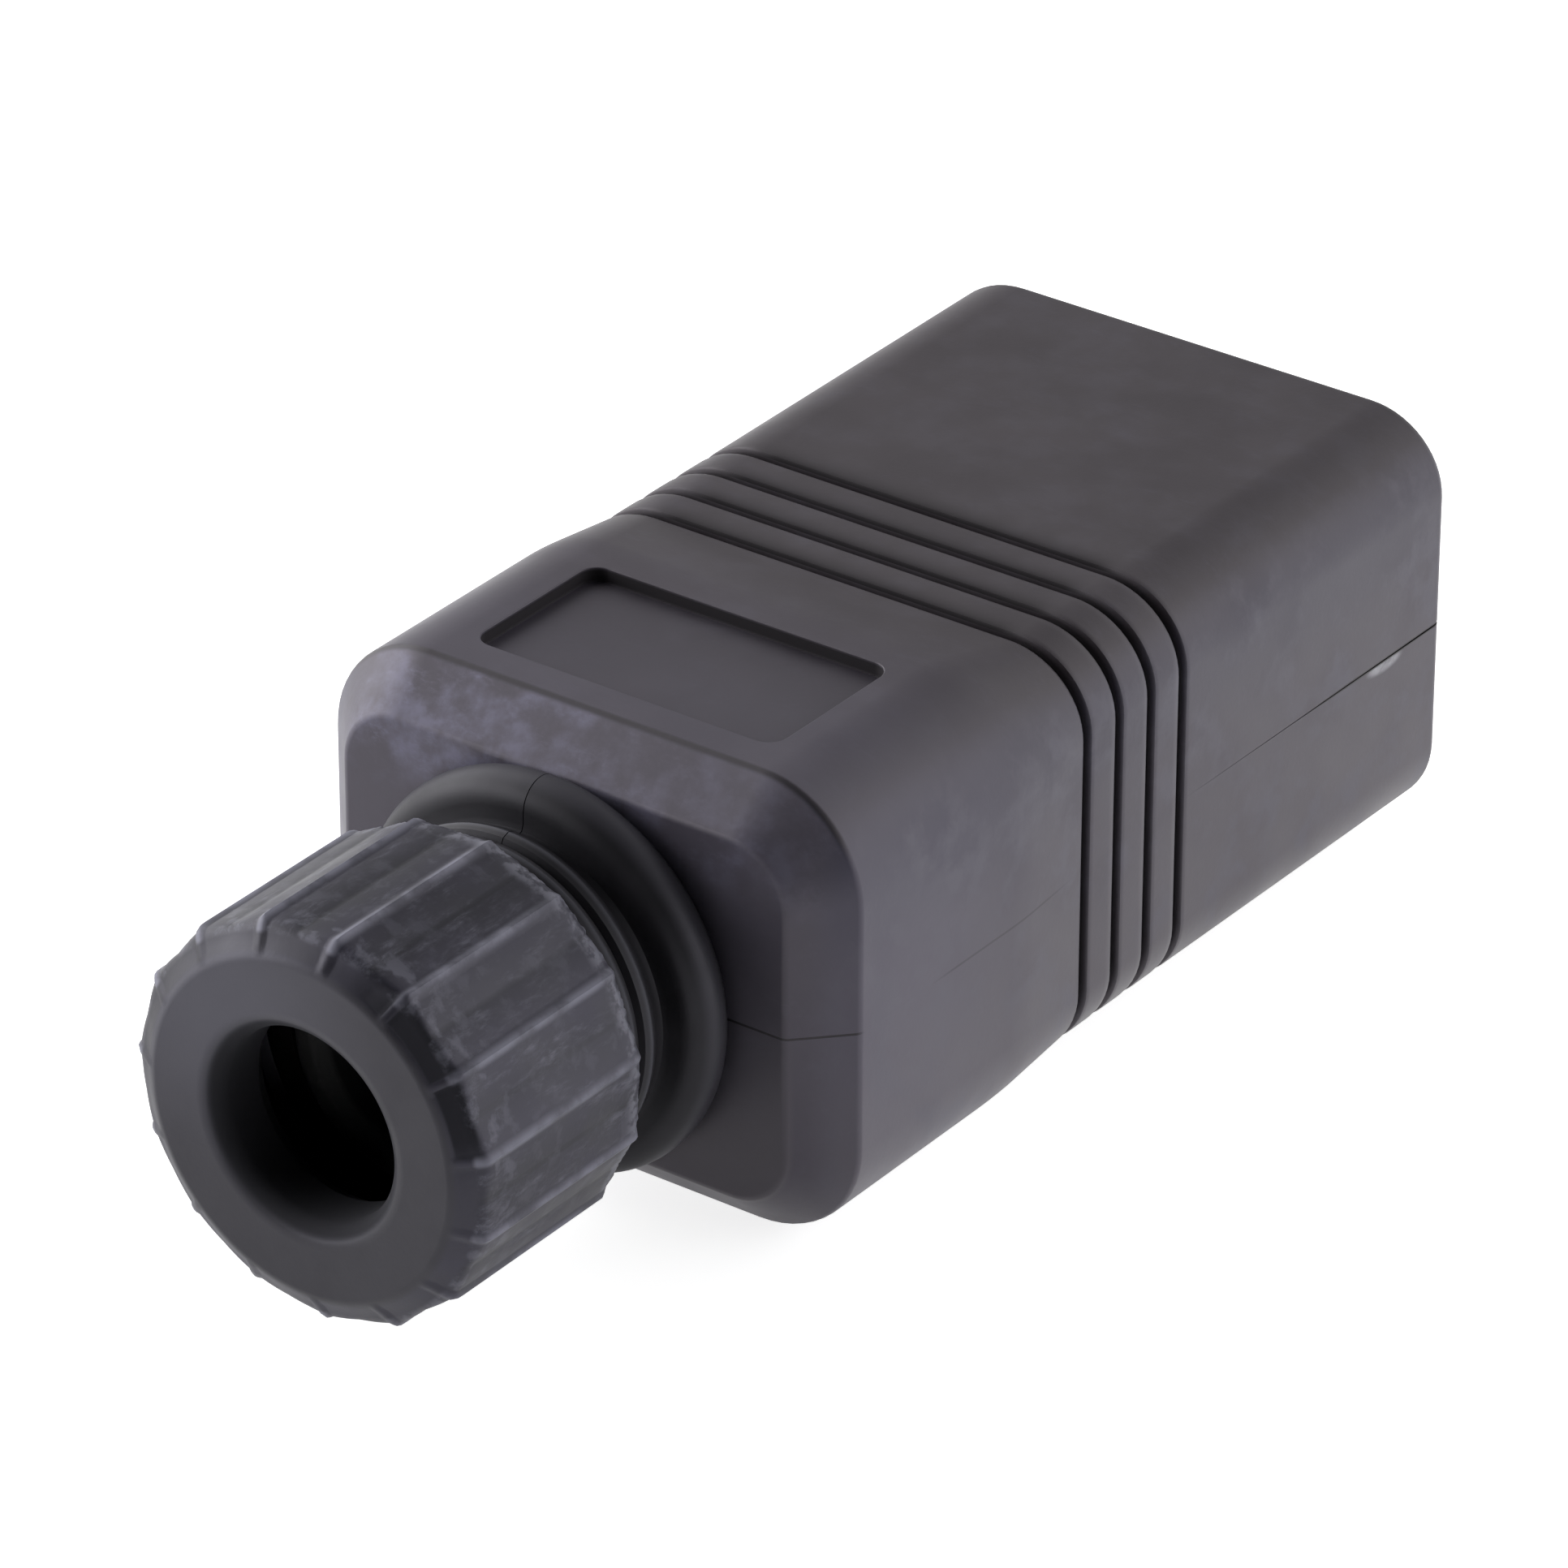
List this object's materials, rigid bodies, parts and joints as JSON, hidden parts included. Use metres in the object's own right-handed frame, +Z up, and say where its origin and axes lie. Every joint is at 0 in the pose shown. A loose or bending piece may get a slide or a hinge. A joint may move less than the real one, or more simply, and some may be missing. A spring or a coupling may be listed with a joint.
{
  "type": "rewirable in-line mains plug",
  "caption": "In-line rewirable appliance plug: rounded box housing in two halves with finger grooves, label recess, flat pins in a mating recess and a ribbed screw gland for the cord.",
  "frame": {"origin": "bottom centre of the bounding box, on the plane that the nose of the housing rests on", "axes": "+X across the plug, +Y from the cord gland towards the mating end, +Z up through the label"},
  "size_m": [0.0356, 0.0838, 0.028],
  "materials": {
    "housing": "fine satin moulding, charcoal with a slight violet tint",
    "gland": "satin moulding, charcoal, scuffed bright on the ribs",
    "insulator": "matt moulding, black",
    "seal": "matt black rubber",
    "washer": "smooth moulding, dark",
    "pins": "drawn and lightly polished",
    "screws": "zinc plated"
  },
  "bodies": {
    "housing": {"upper_shell": "housing", "lower_shell": "housing", "housing_screws": "screws", "pin_carrier": "insulator", "terminal_screws": "screws", "grip_half_left": "gland", "grip_half_right": "gland", "cable_seal": "seal", "live_pin": "pins", "neutral_pin": "pins", "earth_pin": "pins"},
    "washer": {"slip_washer": "washer"},
    "nut": {"gland_nut": "gland"}
  },
  "joints": [
    {"name": "gland_travel", "type": "slide", "parent": "housing", "child": "washer", "axis": [0, 1, 0], "range_m": [-0.0045, 0.003]},
    {"name": "nut_turn", "type": "hinge", "parent": "washer", "child": "nut", "pos_m": [0, -0.034, 0.014], "axis": [0, 1, 0], "range_deg": [-1080, 720]}
  ],
  "couplings": [
    {"joint": "gland_travel", "follows": "nut_turn", "m_per_rad": 0.00023873}
  ]
}
